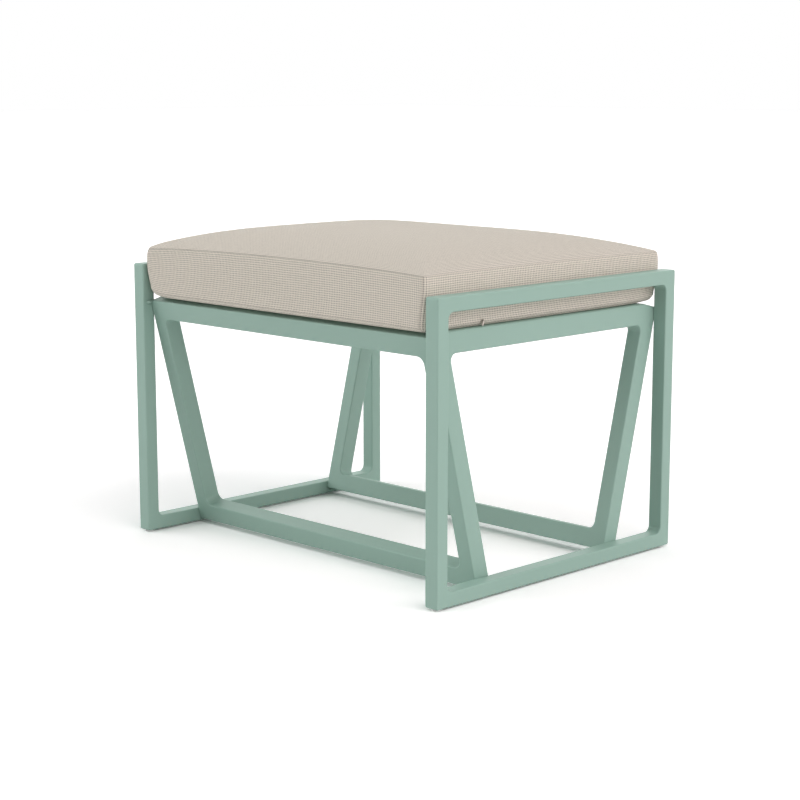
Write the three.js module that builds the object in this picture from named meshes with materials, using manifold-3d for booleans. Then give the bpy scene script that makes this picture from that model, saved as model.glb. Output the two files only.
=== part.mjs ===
// Outdoor ottoman footstool. Two upright end loops of powder-coated tube carry two leaning
// loops and two side rails between them. Slats between the leaning loops carry a loose
// box cushion with a concealed zip.
// Millimetres. +X runs along the long side, -Y is the front and +Z is up. The origin lies
// on the ground, under the middle of the stool.
import * as THREE from "three";
import { mergeVertices } from "three/addons/utils/BufferGeometryUtils.js";
import Module from "manifold-3d";

const wasm = await Module();
wasm.setup();

// Driving dimensions of the whole stool
const overallLength = 650; // outside of one end loop to outside of the other, along X
const overallDepth = 509; // front to back of an end loop
const endLoopHeight = 420; // underside to top of an end loop
const seatHeight = 370; // top of the seat rails above the end loops' underside
const fitGap = 0.3; // between pieces that touch or are welded
const cutOverrun = 4; // how far a cut runs past what it cuts

// Tube of the end loops
const endTubeWidth = 23; // along X
const endTubeHeight = 21; // across the tube, seen from the end
const endCornerRadius = 3; // outer corners of the loop
const endFilletRadius = 10; // inner corners of the loop

// Tube of the leaning loops
const leanDegrees = 14; // from upright; the foot is further in than the top
const loopSetback = 13.2; // top outer edge, in from the front of the end loops
const loopRise = 3.5; // lower outer edge above the end loops' underside
const legWidth = 25; // seen from the front
const loopTubeDepth = 28; // outer face to inner face
const seatRailHeight = 29.5; // along the leaning face
const footRailHeight = 28; // along the leaning face
const loopCornerRadius = 3;
const loopFilletRadius = 11;

// Side rails, which close the seat frame at its left and right
const sideRailHeight = 31;
const sideRailWidth = 25;
const sideRailFillet = 10;

// All the tube
const tubeWall = 2;
const tubeEdgeRadius = 2; // rounding of the tube's long edges
const edgeSteps = 2;
const cornerSteps = 4;

// Seat deck
const slatCount = 6;
const slatWidth = 38;
const slatThickness = 15;
const slatWall = 1.5;

// Welds that show as short beads
const upperWeldRadius = 2.8;
const upperWeldLength = 10;
const upperWeldDrop = 2.2; // below the seat rail's top outer edge
const lowerWeldRadius = 2.2;
const lowerWeldLength = 14;
const weldSteps = 10;

// Glides under the end loops' corners
const glideRadius = 6.5;
const glideHeight = 3; // lifts the end loops off the ground
const glideEdge = 0.8;
const stemRadius = 3;
const stemLength = 4; // above the tube's lower wall
const stemClearance = 0.3;
const roundSteps = 20;

// Cushion
const cushionSideGap = 2.5; // to the end loops' inner faces
const cushionSetback = 2; // in from the front and back of the end loops
const bandHeight = 75; // underside to top seam, at the corners
const crownHeight = 31; // middle of the top above the top seam
const crownPower = 5; // how flat the middle of the crown is
const seamLift = 6; // the top seam rises this much mid-way along front and back
const seamLiftPower = 8;
const coverThickness = 2;
const wrapThickness = 8;
const innerGap = 0.3;
const wrapWindowMargin = 45; // rim left round the wrap's open ends
const longSteps = 6;
const shortSteps = 5;
const cushionCornerSteps = 3;

// Zip along the lower seam of the right end
const zipTapeLength = 300;
const zipTapeHeight = 6;
const zipTapeBase = 3; // lower edge of the tape above the cushion's underside
const sliderWidth = 5;
const sliderHeight = 6;
const sliderThickness = 2.2;
const sliderCornerRadius = 1;
const sliderEnd = 10; // slider's middle from the tape's front end
const pullWidth = 2.4;
const pullLength = 8.5;
const pullThickness = 1;
const pullSlant = 22; // degrees from upright
const pinRadius = 0.45; // pin of the slider, which the pull hangs on
const eyeRadius = 0.75; // hole in the pull
const pinSteps = 8;

// Rows of the cushion's side, from its underside to its top seam. Each row is the share of the
// band's height, the inset of the side and the radius of the corner.
const edgeSoftness = 14; // how far the lower edge is drawn in
const cornerSoftness = 46; // radius of the corner where it meets the underside
const sideRowShares = [
  { height: 0.0, inset: 1.0, corner: 1.0 },
  { height: 0.03, inset: 0.42, corner: 0.7 },
  { height: 0.085, inset: 0.17, corner: 0.45 },
  { height: 0.28, inset: 0.04, corner: 0.25 },
  { height: 0.6, inset: 0.0, corner: 0.18 },
  { height: 0.88, inset: 0.05, corner: 0.15 },
  { height: 1.0, inset: 0.16, corner: 0.15 },
];
// Rings of the crown and of the underside, as shares of the seam's outline
const crownRingShares = [0.985, 0.94, 0.85, 0.68, 0.42];
const undersideRingShares = [0.5];

// Derived places
const lean = THREE.MathUtils.degToRad(leanDegrees);
const groundToFrame = glideHeight;
const seatTop = groundToFrame + seatHeight;
const innerFaceX = overallLength / 2 - endTubeWidth;
const loopSideX = innerFaceX - fitGap;
const loopTopOuterZ = seatTop - loopTubeDepth * Math.sin(lean);
const loopBottomOuterZ = groundToFrame + loopRise;
const loopHeight = (loopTopOuterZ - loopBottomOuterZ) / Math.cos(lean);
const cushionLength = (innerFaceX - cushionSideGap) * 2;
const cushionDepth = overallDepth - cushionSetback * 2;
const outerPlaneY = (z) => -overallDepth / 2 + loopSetback + (loopTopOuterZ - z) * Math.tan(lean);
const innerPlaneY = (z) => outerPlaneY(z) + loopTubeDepth / Math.cos(lean);

// Finishes
const frameFinish = new THREE.MeshStandardMaterial({ color: 0xa0b8ae, roughness: 0.55, metalness: 0.1 });
const deckFinish = new THREE.MeshStandardMaterial({ color: 0x98b0a6, roughness: 0.6, metalness: 0.1 });
const glideFinish = new THREE.MeshStandardMaterial({ color: 0xe9ecec, roughness: 0.35, metalness: 0 });
const fabricFinish = new THREE.MeshStandardMaterial({ color: 0xcdc6bc, roughness: 0.95, metalness: 0 });
const wrapFinish = new THREE.MeshStandardMaterial({ color: 0xf4f3ef, roughness: 1, metalness: 0 });
const foamFinish = new THREE.MeshStandardMaterial({ color: 0xefe6c4, roughness: 0.9, metalness: 0 });
const zipFinish = new THREE.MeshStandardMaterial({ color: 0xbdb4a5, roughness: 0.7, metalness: 0 });

// A closed three.js geometry as a solid that can be joined and cut.
function solidOf(geometry) {
  const bare = geometry.index ? geometry.toNonIndexed() : geometry.clone();
  bare.deleteAttribute("normal");
  bare.deleteAttribute("uv");
  const merged = mergeVertices(bare);
  const triVerts = new Uint32Array(merged.index.array);
  const vertProperties = merged.attributes.position.array;
  return new wasm.Manifold(new wasm.Mesh({ numProp: 3, vertProperties, triVerts }));
}

// A solid back as a three.js geometry.
function geometryOf(solid) {
  const mesh = solid.getMesh();
  const geometry = new THREE.BufferGeometry();
  geometry.setAttribute("position", new THREE.BufferAttribute(mesh.vertProperties, mesh.numProp));
  geometry.setIndex(new THREE.BufferAttribute(mesh.triVerts, 1));
  const faceted = geometry.toNonIndexed();
  faceted.computeVertexNormals();
  return faceted;
}

function meshOf(name, solid, material) {
  const mesh = new THREE.Mesh(geometryOf(solid), material.clone());
  mesh.name = name;
  return mesh;
}

function boxSolid(low, high) {
  const size = high.map((value, axis) => value - low[axis]);
  const middle = high.map((value, axis) => (value + low[axis]) / 2);
  return solidOf(new THREE.BoxGeometry(...size).translate(...middle));
}

// Points of a rectangle with round corners, anticlockwise from the lower right corner.
function roundedRectanglePoints(left, bottom, right, top, radius, steps) {
  const limit = Math.min(radius, (right - left) / 2, (top - bottom) / 2);
  const centres = [
    [right - limit, bottom + limit, -Math.PI / 2],
    [right - limit, top - limit, 0],
    [left + limit, top - limit, Math.PI / 2],
    [left + limit, bottom + limit, Math.PI],
  ];
  const points = [];
  for (const [x, y, start] of centres) {
    for (let step = 0; step <= steps; step += 1) {
      const angle = start + (step / steps) * (Math.PI / 2);
      points.push(new THREE.Vector2(x + limit * Math.cos(angle), y + limit * Math.sin(angle)));
    }
  }
  return points;
}

// A shape pushed along Z from 0 to depth, with its edges rounded at both faces.
function extrudeRounded(shape, depth, edge, steps) {
  const geometry = new THREE.ExtrudeGeometry(shape, {
    depth: depth - edge - edge,
    bevelEnabled: true,
    bevelThickness: edge,
    bevelSize: edge,
    bevelOffset: -edge,
    bevelSegments: steps,
    steps: 1,
  });
  return solidOf(geometry.translate(0, 0, edge));
}

function extrudePlain(shape, from, to) {
  const geometry = new THREE.ExtrudeGeometry(shape, { depth: to - from, bevelEnabled: false, steps: 1 });
  return solidOf(geometry.translate(0, 0, from));
}

// A loop's outline with its opening, or its hollow when inset is the wall.
function loopShape(spec, inset) {
  const half = spec.width / 2 - inset;
  const openHalf = spec.width / 2 - spec.sideWidth + inset;
  const outerRadius = Math.max(spec.cornerRadius - inset, inset / 2);
  const outerSteps = edgeSteps;
  const outer = roundedRectanglePoints(-half, inset, half, spec.height - inset, outerRadius, outerSteps);
  const openBottom = spec.bottomHeight - inset;
  const openTop = spec.height - spec.topHeight + inset;
  const openRadius = spec.filletRadius + inset;
  const opening = roundedRectanglePoints(-openHalf, openBottom, openHalf, openTop, openRadius, cornerSteps);
  const shape = new THREE.Shape(outer);
  shape.holes.push(new THREE.Path(opening));
  return shape;
}

// The part of a loop that lies between two mitres. Each mitre runs from the loop's outer corner
// to the corner of its opening, and half the gap is left on each side of it.
function mitreKeeper(spec, mitres) {
  const reach = spec.filletRadius + cutOverrun;
  const middle = new THREE.Vector2();
  for (const [outer, inner] of mitres) middle.add(outer).add(inner);
  middle.divideScalar(mitres.length + mitres.length);
  const outline = mitres.map(([outer, inner]) => {
    const along = inner.clone().sub(outer).normalize();
    const across = new THREE.Vector2(-along.y, along.x);
    const side = Math.sign(across.dot(middle.clone().sub(outer)));
    const shift = across.multiplyScalar((side * fitGap) / 2);
    const start = outer.clone().addScaledVector(along, -reach).add(shift);
    const end = inner.clone().addScaledVector(along, reach).add(shift);
    return [start, end];
  });
  const [first, second] = outline;
  const points = [first[0], first[1], second[1], second[0]];
  const turned = THREE.ShapeUtils.isClockWise(points) ? points.reverse() : points;
  return extrudePlain(new THREE.Shape(turned), -cutOverrun, spec.depth + cutOverrun);
}

// A closed loop of hollow tube in the XY plane, its foot on y = 0 and its depth along +Z, cut at
// its four mitres into left, right, top and bottom.
function mitredLoop(spec) {
  const full = extrudeRounded(loopShape(spec, 0), spec.depth, tubeEdgeRadius, edgeSteps);
  const hollow = extrudePlain(loopShape(spec, tubeWall), tubeWall, spec.depth - tubeWall);
  const tube = full.subtract(hollow);
  const half = spec.width / 2;
  const openHalf = half - spec.sideWidth;
  const corner = (side, up) => [
    new THREE.Vector2(side * half, up ? spec.height : 0),
    new THREE.Vector2(side * openHalf, up ? spec.height - spec.topHeight : spec.bottomHeight),
  ];
  return {
    left: tube.intersect(mitreKeeper(spec, [corner(-1, false), corner(-1, true)])),
    right: tube.intersect(mitreKeeper(spec, [corner(1, false), corner(1, true)])),
    top: tube.intersect(mitreKeeper(spec, [corner(-1, true), corner(1, true)])),
    bottom: tube.intersect(mitreKeeper(spec, [corner(-1, false), corner(1, false)])),
  };
}

const stool = new THREE.Group();
const sides = [
  { name: "left", sign: -1 },
  { name: "right", sign: 1 },
];
const fronts = [
  { name: "front", sign: -1 },
  { name: "back", sign: 1 },
];

// End loops: upright rectangles of tube at the left and right end. Their lower rails are drilled
// for the glides' stems.
const glideInsetX = endTubeWidth / 2;
const glideInsetY = endTubeHeight / 2;
const endLoopSpec = {
  width: overallDepth,
  height: endLoopHeight,
  sideWidth: endTubeHeight,
  topHeight: endTubeHeight,
  bottomHeight: endTubeHeight,
  depth: endTubeWidth,
  cornerRadius: endCornerRadius,
  filletRadius: endFilletRadius,
};

function stemHole(along) {
  const radius = stemRadius + stemClearance;
  const height = tubeWall + cutOverrun;
  const cylinder = new THREE.CylinderGeometry(radius, radius, height, roundSteps);
  return solidOf(cylinder.translate(along, (tubeWall - cutOverrun) / 2, glideInsetX));
}

function addEndLoop(side) {
  const pieces = mitredLoop(endLoopSpec);
  const holeReach = overallDepth / 2 - glideInsetY;
  const drilled = pieces.bottom.subtract(stemHole(-holeReach)).subtract(stemHole(holeReach));
  const loop = new THREE.Group();
  loop.add(meshOf(side.name + "_front_post", pieces.left, frameFinish));
  loop.add(meshOf(side.name + "_back_post", pieces.right, frameFinish));
  loop.add(meshOf(side.name + "_top_rail", pieces.top, frameFinish));
  loop.add(meshOf(side.name + "_bottom_rail", drilled, frameFinish));
  // Turns the loop's width to +Y, its height to +Z and its depth to +X
  const place = new THREE.Matrix4().makeBasis(
    new THREE.Vector3(0, 1, 0),
    new THREE.Vector3(0, 0, 1),
    new THREE.Vector3(1, 0, 0),
  );
  loop.quaternion.setFromRotationMatrix(place);
  loop.position.set((side.sign * overallLength) / 2 - (side.sign > 0 ? endTubeWidth : 0), 0, groundToFrame);
  stool.add(loop);
}

// Leaning loops: rectangles of tube between the end loops, leaning inwards to their feet.
const leaningLoopSpec = {
  width: loopSideX * 2,
  height: loopHeight,
  sideWidth: legWidth,
  topHeight: seatRailHeight,
  bottomHeight: footRailHeight,
  depth: loopTubeDepth,
  cornerRadius: loopCornerRadius,
  filletRadius: loopFilletRadius,
};

function addLeaningLoop(front) {
  const pieces = mitredLoop(leaningLoopSpec);
  const isFront = front.sign < 0;
  const loop = new THREE.Group();
  loop.add(meshOf(front.name + (isFront ? "_left_leg" : "_right_leg"), pieces.left, frameFinish));
  loop.add(meshOf(front.name + (isFront ? "_right_leg" : "_left_leg"), pieces.right, frameFinish));
  loop.add(meshOf(front.name + "_seat_rail", pieces.top, frameFinish));
  loop.add(meshOf(front.name + "_foot_rail", pieces.bottom, frameFinish));
  loop.rotation.x = Math.PI / 2 + lean;
  loop.position.y = innerPlaneY(loopBottomOuterZ + loopTubeDepth * Math.sin(lean));
  loop.position.z = loopBottomOuterZ + loopTubeDepth * Math.sin(lean);
  const turned = new THREE.Group();
  turned.rotation.z = isFront ? 0 : Math.PI;
  turned.add(loop);
  stool.add(turned);
}

// All that lies between the leaning loops' inner faces, less the gap, over the given heights.
function betweenLoops(lowZ, highZ, lowX, highX) {
  const gap = fitGap / Math.cos(lean);
  const lowY = innerPlaneY(lowZ) + gap;
  const highY = innerPlaneY(highZ) + gap;
  // Drawn with Y across and Z up, then turned to stand along X
  const outline = [
    new THREE.Vector2(lowY, lowZ),
    new THREE.Vector2(-lowY, lowZ),
    new THREE.Vector2(-highY, highZ),
    new THREE.Vector2(highY, highZ),
  ];
  return standAlongX(new THREE.Shape(outline), lowX, highX);
}

// A shape drawn with Y across and Z up, pushed along X.
function standAlongX(shape, lowX, highX) {
  const geometry = new THREE.ExtrudeGeometry(shape, { depth: highX - lowX, bevelEnabled: false, steps: 1 });
  geometry.rotateX(Math.PI / 2).rotateZ(Math.PI / 2);
  return solidOf(geometry.translate(lowX, 0, 0));
}

// Side rails: tubes along Y, flush with the legs' outer sides. A rounded gusset under each end
// runs into the leg.
function sideRailShape() {
  const bottom = seatTop - sideRailHeight;
  // The gusset's arc touches the rail's underside and the leg's inner face
  const turn = Math.PI / 2 + lean;
  const tangent = sideRailFillet * Math.tan(turn / 2);
  const cornerY = innerPlaneY(bottom);
  const centreY = cornerY + tangent;
  const centreZ = bottom - sideRailFillet;
  const reachY = cornerY - cutOverrun;
  const points = [];
  for (let step = 0; step <= cornerSteps; step += 1) {
    const angle = Math.PI / 2 + (step / cornerSteps) * turn;
    points.push([centreY + sideRailFillet * Math.cos(angle), centreZ + sideRailFillet * Math.sin(angle)]);
  }
  const last = points[points.length - 1];
  const half = [...points, [last[0] - cutOverrun, last[1]], [reachY - loopTubeDepth, seatTop]];
  const outline = half.map(([y, z]) => new THREE.Vector2(y, z));
  const mirrored = half.map(([y, z]) => new THREE.Vector2(-y, z)).reverse();
  return new THREE.Shape([...outline, ...mirrored]);
}

function addSideRail(side) {
  const points = sideRailShape().getPoints();
  const wide = THREE.ShapeUtils.isClockWise(points) ? points.reverse() : points;
  const bar = extrudeRounded(new THREE.Shape(wide), sideRailWidth, tubeEdgeRadius, edgeSteps);
  const bottom = seatTop - sideRailHeight;
  const reach = overallDepth / 2;
  const boreLow = [-reach, bottom + tubeWall, tubeWall];
  const boreHigh = [reach, seatTop - tubeWall, sideRailWidth - tubeWall];
  const standing = geometryOf(bar.subtract(boxSolid(boreLow, boreHigh)));
  const outerX = side.sign * loopSideX;
  const lowX = Math.min(outerX, outerX - side.sign * sideRailWidth);
  // The bar's own X is the stool's Y, its Y the stool's Z and its Z the stool's X
  standing.rotateX(Math.PI / 2).rotateZ(Math.PI / 2).translate(lowX, 0, 0);
  const below = bottom - sideRailFillet * 2;
  const [roomLow, roomHigh] = [lowX - cutOverrun, lowX + sideRailWidth + cutOverrun];
  const room = betweenLoops(below, seatTop + cutOverrun, roomLow, roomHigh);
  stool.add(meshOf(side.name + "_seat_rail", solidOf(standing).intersect(room), frameFinish));
}

// Seat deck: hollow slats along Y, their tops level with the rails.
function addSlats() {
  const clearLength = (loopSideX - sideRailWidth) * 2;
  const pitch = clearLength / slatCount;
  const reach = overallDepth / 2;
  for (let index = 0; index < slatCount; index += 1) {
    const x = -clearLength / 2 + pitch * (index + 1 / 2);
    const lowX = x - slatWidth / 2;
    const highX = x + slatWidth / 2;
    const lowZ = seatTop - slatThickness;
    const bar = boxSolid([lowX, -reach, lowZ], [highX, reach, seatTop]);
    const boreLow = [lowX + slatWall, -reach - cutOverrun, lowZ + slatWall];
    const boreHigh = [highX - slatWall, reach + cutOverrun, seatTop - slatWall];
    const bored = bar.subtract(boxSolid(boreLow, boreHigh));
    const [roomLow, roomHigh] = [lowX - cutOverrun, highX + cutOverrun];
    const room = betweenLoops(lowZ - cutOverrun, seatTop + cutOverrun, roomLow, roomHigh);
    stool.add(meshOf("deck_slat_" + (index + 1), bored.intersect(room), deckFinish));
  }
}

// Welds: short round beads in the corner between an end loop and a leaning loop. The upper one
// runs out from the seat rail's outer face along the post, the lower one is under the foot rail.
function weldBead(length, beadRadius) {
  const straight = length - beadRadius * 2;
  const profile = [];
  for (const end of [-1, 1]) {
    for (let step = 0; step <= edgeSteps; step += 1) {
      const share = end < 0 ? step / edgeSteps : 1 - step / edgeSteps;
      const angle = (share * Math.PI) / 2;
      const radius = beadRadius * Math.sin(angle);
      profile.push(new THREE.Vector2(radius, end * (straight / 2 + beadRadius * Math.cos(angle))));
    }
  }
  return new THREE.LatheGeometry(profile, weldSteps);
}

function addWelds(side, front) {
  const isFront = front.sign < 0;
  // Upper bead, from the leaning face out along the post, just below the top edge
  const upperZ = loopTopOuterZ - upperWeldDrop;
  const upperY = outerPlaneY(upperZ) - fitGap - upperWeldLength / 2;
  const upperX = innerFaceX - fitGap - upperWeldRadius;
  const upper = new THREE.Mesh(weldBead(upperWeldLength, upperWeldRadius), frameFinish.clone());
  upper.name = side.name + "_" + front.name + "_upper_weld";
  upper.position.set(side.sign * upperX, isFront ? upperY : -upperY, upperZ);
  // Lower bead, midway along the foot rail's underside
  const clear = lowerWeldRadius + fitGap;
  const half = loopTubeDepth / 2;
  const lowerX = innerFaceX - clear;
  const lowerY = outerPlaneY(loopBottomOuterZ) + half * Math.cos(lean) + clear * Math.sin(lean);
  const lowerZ = loopBottomOuterZ + half * Math.sin(lean) - clear * Math.cos(lean);
  const lower = new THREE.Mesh(weldBead(lowerWeldLength, lowerWeldRadius), frameFinish.clone());
  lower.name = side.name + "_" + front.name + "_lower_weld";
  lower.position.set(side.sign * lowerX, isFront ? lowerY : -lowerY, lowerZ);
  lower.rotation.x = isFront ? lean : -lean;
  stool.add(upper, lower);
}

// Glides: round plastic pads whose stems push into the end loops' lower rails.
function addGlide(side, front) {
  const padTop = glideHeight - fitGap;
  const stemTop = glideHeight + tubeWall + stemLength;
  const profile = [
    [0, 0],
    [glideRadius - glideEdge, 0],
    [glideRadius, glideEdge],
    [glideRadius, padTop],
    [stemRadius, padTop],
    [stemRadius, stemTop],
    [0, stemTop],
  ].map(([radius, z]) => new THREE.Vector2(radius, z));
  const glide = new THREE.Mesh(new THREE.LatheGeometry(profile, roundSteps), glideFinish.clone());
  glide.name = side.name + "_" + front.name + "_glide";
  glide.rotation.x = Math.PI / 2;
  const x = side.sign * (overallLength / 2 - glideInsetX);
  const y = front.sign * (overallDepth / 2 - glideInsetY);
  glide.position.set(x, y, 0);
  stool.add(glide);
}

// Cushion: one closed skin for a given inset from the cushion's outside. The cover, the wrap
// and the foam core are cut from such skins.
function cushionOutline(halfLength, halfDepth, radius) {
  const straightX = halfLength - radius;
  const straightY = halfDepth - radius;
  const points = [];
  const run = (from, to, steps) => {
    for (let step = 0; step < steps; step += 1) {
      const share = step / steps;
      points.push([from[0] + (to[0] - from[0]) * share, from[1] + (to[1] - from[1]) * share]);
    }
  };
  const turn = (centre, start) => {
    for (let step = 0; step < cushionCornerSteps; step += 1) {
      const angle = start + (step / cushionCornerSteps) * (Math.PI / 2);
      points.push([centre[0] + radius * Math.cos(angle), centre[1] + radius * Math.sin(angle)]);
    }
  };
  run([-straightX, -halfDepth], [straightX, -halfDepth], longSteps);
  turn([straightX, -straightY], -Math.PI / 2);
  run([halfLength, -straightY], [halfLength, straightY], shortSteps);
  turn([straightX, straightY], 0);
  run([straightX, halfDepth], [-straightX, halfDepth], longSteps);
  turn([-straightX, straightY], Math.PI / 2);
  run([-halfLength, straightY], [-halfLength, -straightY], shortSteps);
  turn([-straightX, -straightY], Math.PI);
  return points;
}

function cushionSkin(inset) {
  const base = seatTop + fitGap;
  const positions = [];
  const rings = [];
  const addRing = (points) => {
    rings.push(points.map((point) => positions.push(point) - 1));
  };
  const rowOutline = (row) => {
    const drawn = row.inset * edgeSoftness + inset;
    return cushionOutline(cushionLength / 2 - drawn, cushionDepth / 2 - drawn, row.corner * cornerSoftness);
  };
  const liftAt = (x, y) => {
    const acrossX = Math.min(1, Math.abs(x) / (cushionLength / 2));
    const acrossY = Math.min(1, Math.abs(y) / (cushionDepth / 2));
    return seamLift * (1 - acrossX ** 2) * acrossY ** seamLiftPower;
  };
  const seamRow = sideRowShares[sideRowShares.length - 1];
  const seam = rowOutline(seamRow);
  const seamHalfX = cushionLength / 2 - seamRow.inset * edgeSoftness - inset;
  const seamHalfY = cushionDepth / 2 - seamRow.inset * edgeSoftness - inset;
  const crownAt = (x, y) => {
    const acrossX = Math.min(1, Math.abs(x) / seamHalfX);
    const acrossY = Math.min(1, Math.abs(y) / seamHalfY);
    const swell = (1 - acrossX ** crownPower) * (1 - acrossY ** crownPower);
    return base + bandHeight - inset + liftAt(x, y) + crownHeight * swell;
  };
  const lower = rowOutline(sideRowShares[0]);
  const underside = base + inset;
  const undersideCentre = positions.push([0, 0, underside]) - 1;
  for (const share of undersideRingShares) {
    addRing(lower.map(([x, y]) => [x * share, y * share, underside]));
  }
  for (const row of sideRowShares) {
    const height = inset + row.height * (bandHeight - inset * 2);
    addRing(rowOutline(row).map(([x, y]) => [x, y, base + height + row.height ** 2 * liftAt(x, y)]));
  }
  for (const share of crownRingShares) {
    addRing(seam.map(([x, y]) => [x * share, y * share, crownAt(x * share, y * share)]));
  }
  const crownCentre = positions.push([0, 0, crownAt(0, 0)]) - 1;
  const faces = [];
  const count = seam.length;
  for (let index = 0; index < count; index += 1) {
    const next = (index + 1) % count;
    faces.push(undersideCentre, rings[0][next], rings[0][index]);
    for (let ring = 1; ring < rings.length; ring += 1) {
      const [low, high] = [rings[ring - 1], rings[ring]];
      faces.push(low[index], low[next], high[next]);
      faces.push(low[index], high[next], high[index]);
    }
    const last = rings[rings.length - 1];
    faces.push(last[index], last[next], crownCentre);
  }
  const geometry = new THREE.BufferGeometry();
  geometry.setAttribute("position", new THREE.Float32BufferAttribute(positions.flat(), 3));
  geometry.setIndex(faces);
  return solidOf(geometry);
}

// How far the cover's side is drawn in at a height above the underside.
function sideInsetAt(height) {
  const share = height / bandHeight;
  const upper = sideRowShares.findIndex((row) => row.height >= share);
  const [low, high] = [sideRowShares[upper - 1], sideRowShares[upper]];
  const between = (share - low.height) / (high.height - low.height);
  return (low.inset + (high.inset - low.inset) * between) * edgeSoftness;
}

function zipSlot(clearance) {
  const halfLength = zipTapeLength / 2 + clearance;
  const lowZ = seatTop + fitGap + zipTapeBase - clearance;
  const highZ = lowZ + zipTapeHeight + clearance * 2;
  const lowX = cushionLength / 2 - edgeSoftness - coverThickness - clearance;
  return boxSolid([lowX, -halfLength, lowZ], [cushionLength / 2 + cutOverrun, halfLength, highZ]);
}

function addCushion() {
  const shell = cushionSkin(0).subtract(cushionSkin(coverThickness));
  stool.add(meshOf("cushion_cover", shell.subtract(zipSlot(fitGap)), fabricFinish));
  stool.add(meshOf("cushion_zip_tape", shell.intersect(zipSlot(0)), zipFinish));
  const wrapInset = coverThickness + innerGap;
  const coreInset = wrapInset + wrapThickness;
  const windowY = cushionDepth / 2 - wrapWindowMargin;
  const windowLow = seatTop + wrapWindowMargin / 2;
  const windowHigh = seatTop + bandHeight - wrapWindowMargin / 4;
  const windows = boxSolid([-cushionLength, -windowY, windowLow], [cushionLength, windowY, windowHigh]);
  const wrap = cushionSkin(wrapInset).subtract(cushionSkin(coreInset)).subtract(windows);
  stool.add(meshOf("cushion_fibre_wrap", wrap, wrapFinish));
  stool.add(meshOf("cushion_foam_core", cushionSkin(coreInset + innerGap), foamFinish));
}

// Zip slider with its pull: it rides on the tape, near the tape's front end. The pull hangs on
// the slider's pin by its eye.
function faceEndwards(geometry) {
  // Turns a flat shape's X to -Y, its Y to +Z and its depth to +X
  return geometry.rotateX(Math.PI / 2).rotateZ(Math.PI / 2);
}

function addZipSlider() {
  const tapeMiddle = zipTapeBase + zipTapeHeight / 2;
  const tapeMiddleZ = seatTop + fitGap + tapeMiddle;
  const y = -zipTapeLength / 2 + sliderEnd;
  const x = cushionLength / 2 - sideInsetAt(tapeMiddle + sliderHeight / 2) + fitGap;
  const half = sliderWidth / 2;
  const tall = sliderHeight / 2;
  const plain = { depth: sliderThickness, bevelEnabled: false };
  const outline = roundedRectanglePoints(-half, -tall, half, tall, sliderCornerRadius, edgeSteps);
  const plate = new THREE.ExtrudeGeometry(new THREE.Shape(outline), plain);
  const pinLength = sliderThickness / 2 + fitGap + pullThickness;
  const pin = new THREE.CylinderGeometry(pinRadius, pinRadius, pinLength, pinSteps);
  const pinHeight = sliderHeight / 4;
  pin.rotateX(Math.PI / 2).translate(0, pinHeight, sliderThickness / 2 + pinLength / 2);
  const slider = meshOf("zip_slider", solidOf(plate).add(solidOf(pin)), zipFinish);
  faceEndwards(slider.geometry);
  slider.position.set(x, y, tapeMiddleZ);
  // The pull's own origin is the middle of its eye
  const pullHalf = pullWidth / 2;
  const pullOutline = roundedRectanglePoints(
    -pullHalf,
    pullHalf - pullLength,
    pullHalf,
    pullHalf,
    pullHalf / 2,
    edgeSteps,
  );
  const pullShape = new THREE.Shape(pullOutline);
  const eye = new THREE.Path().absarc(0, 0, eyeRadius, 0, Math.PI * 2, true);
  pullShape.holes.push(new THREE.Path(eye.getPoints(pinSteps)));
  const pullGeometry = new THREE.ExtrudeGeometry(pullShape, { depth: pullThickness, bevelEnabled: false });
  const pull = new THREE.Mesh(faceEndwards(pullGeometry), zipFinish.clone());
  pull.name = "zip_pull";
  pull.rotation.x = THREE.MathUtils.degToRad(-pullSlant);
  pull.position.set(x + sliderThickness + fitGap, y, tapeMiddleZ + pinHeight);
  stool.add(slider, pull);
}

for (const side of sides) {
  addEndLoop(side);
  addSideRail(side);
}
for (const front of fronts) addLeaningLoop(front);
addSlats();
for (const side of sides) {
  for (const front of fronts) {
    addWelds(side, front);
    addGlide(side, front);
  }
}
addCushion();
addZipSlider();

export default stool;
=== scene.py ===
import math

import bmesh
import bpy
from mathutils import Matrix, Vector, noise


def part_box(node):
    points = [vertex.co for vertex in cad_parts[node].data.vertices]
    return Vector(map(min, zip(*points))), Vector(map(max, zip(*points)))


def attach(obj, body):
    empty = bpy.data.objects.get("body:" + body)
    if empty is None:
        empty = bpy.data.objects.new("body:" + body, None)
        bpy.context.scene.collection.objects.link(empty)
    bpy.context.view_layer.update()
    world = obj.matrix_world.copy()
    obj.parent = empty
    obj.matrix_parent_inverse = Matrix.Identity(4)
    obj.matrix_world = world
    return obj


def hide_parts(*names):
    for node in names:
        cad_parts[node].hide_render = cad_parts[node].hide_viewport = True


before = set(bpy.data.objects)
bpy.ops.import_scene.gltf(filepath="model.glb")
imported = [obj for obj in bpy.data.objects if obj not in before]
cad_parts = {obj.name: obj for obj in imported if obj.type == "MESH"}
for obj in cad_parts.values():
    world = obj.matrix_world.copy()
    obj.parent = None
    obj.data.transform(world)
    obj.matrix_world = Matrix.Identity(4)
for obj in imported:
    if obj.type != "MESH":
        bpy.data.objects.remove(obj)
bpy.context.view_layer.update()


# Camera: stands before the right front corner, a little above the seat, and looks slightly
# down, with a long lens as in a catalogue picture.
CAMERA_PLACE = (1.97730, -1.97574, 0.70586)
CAMERA_ROUND = 45.014
CAMERA_DOWN = 9.910
CAMERA_LENS = 83.36
CAMERA_SENSOR = 36

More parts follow.
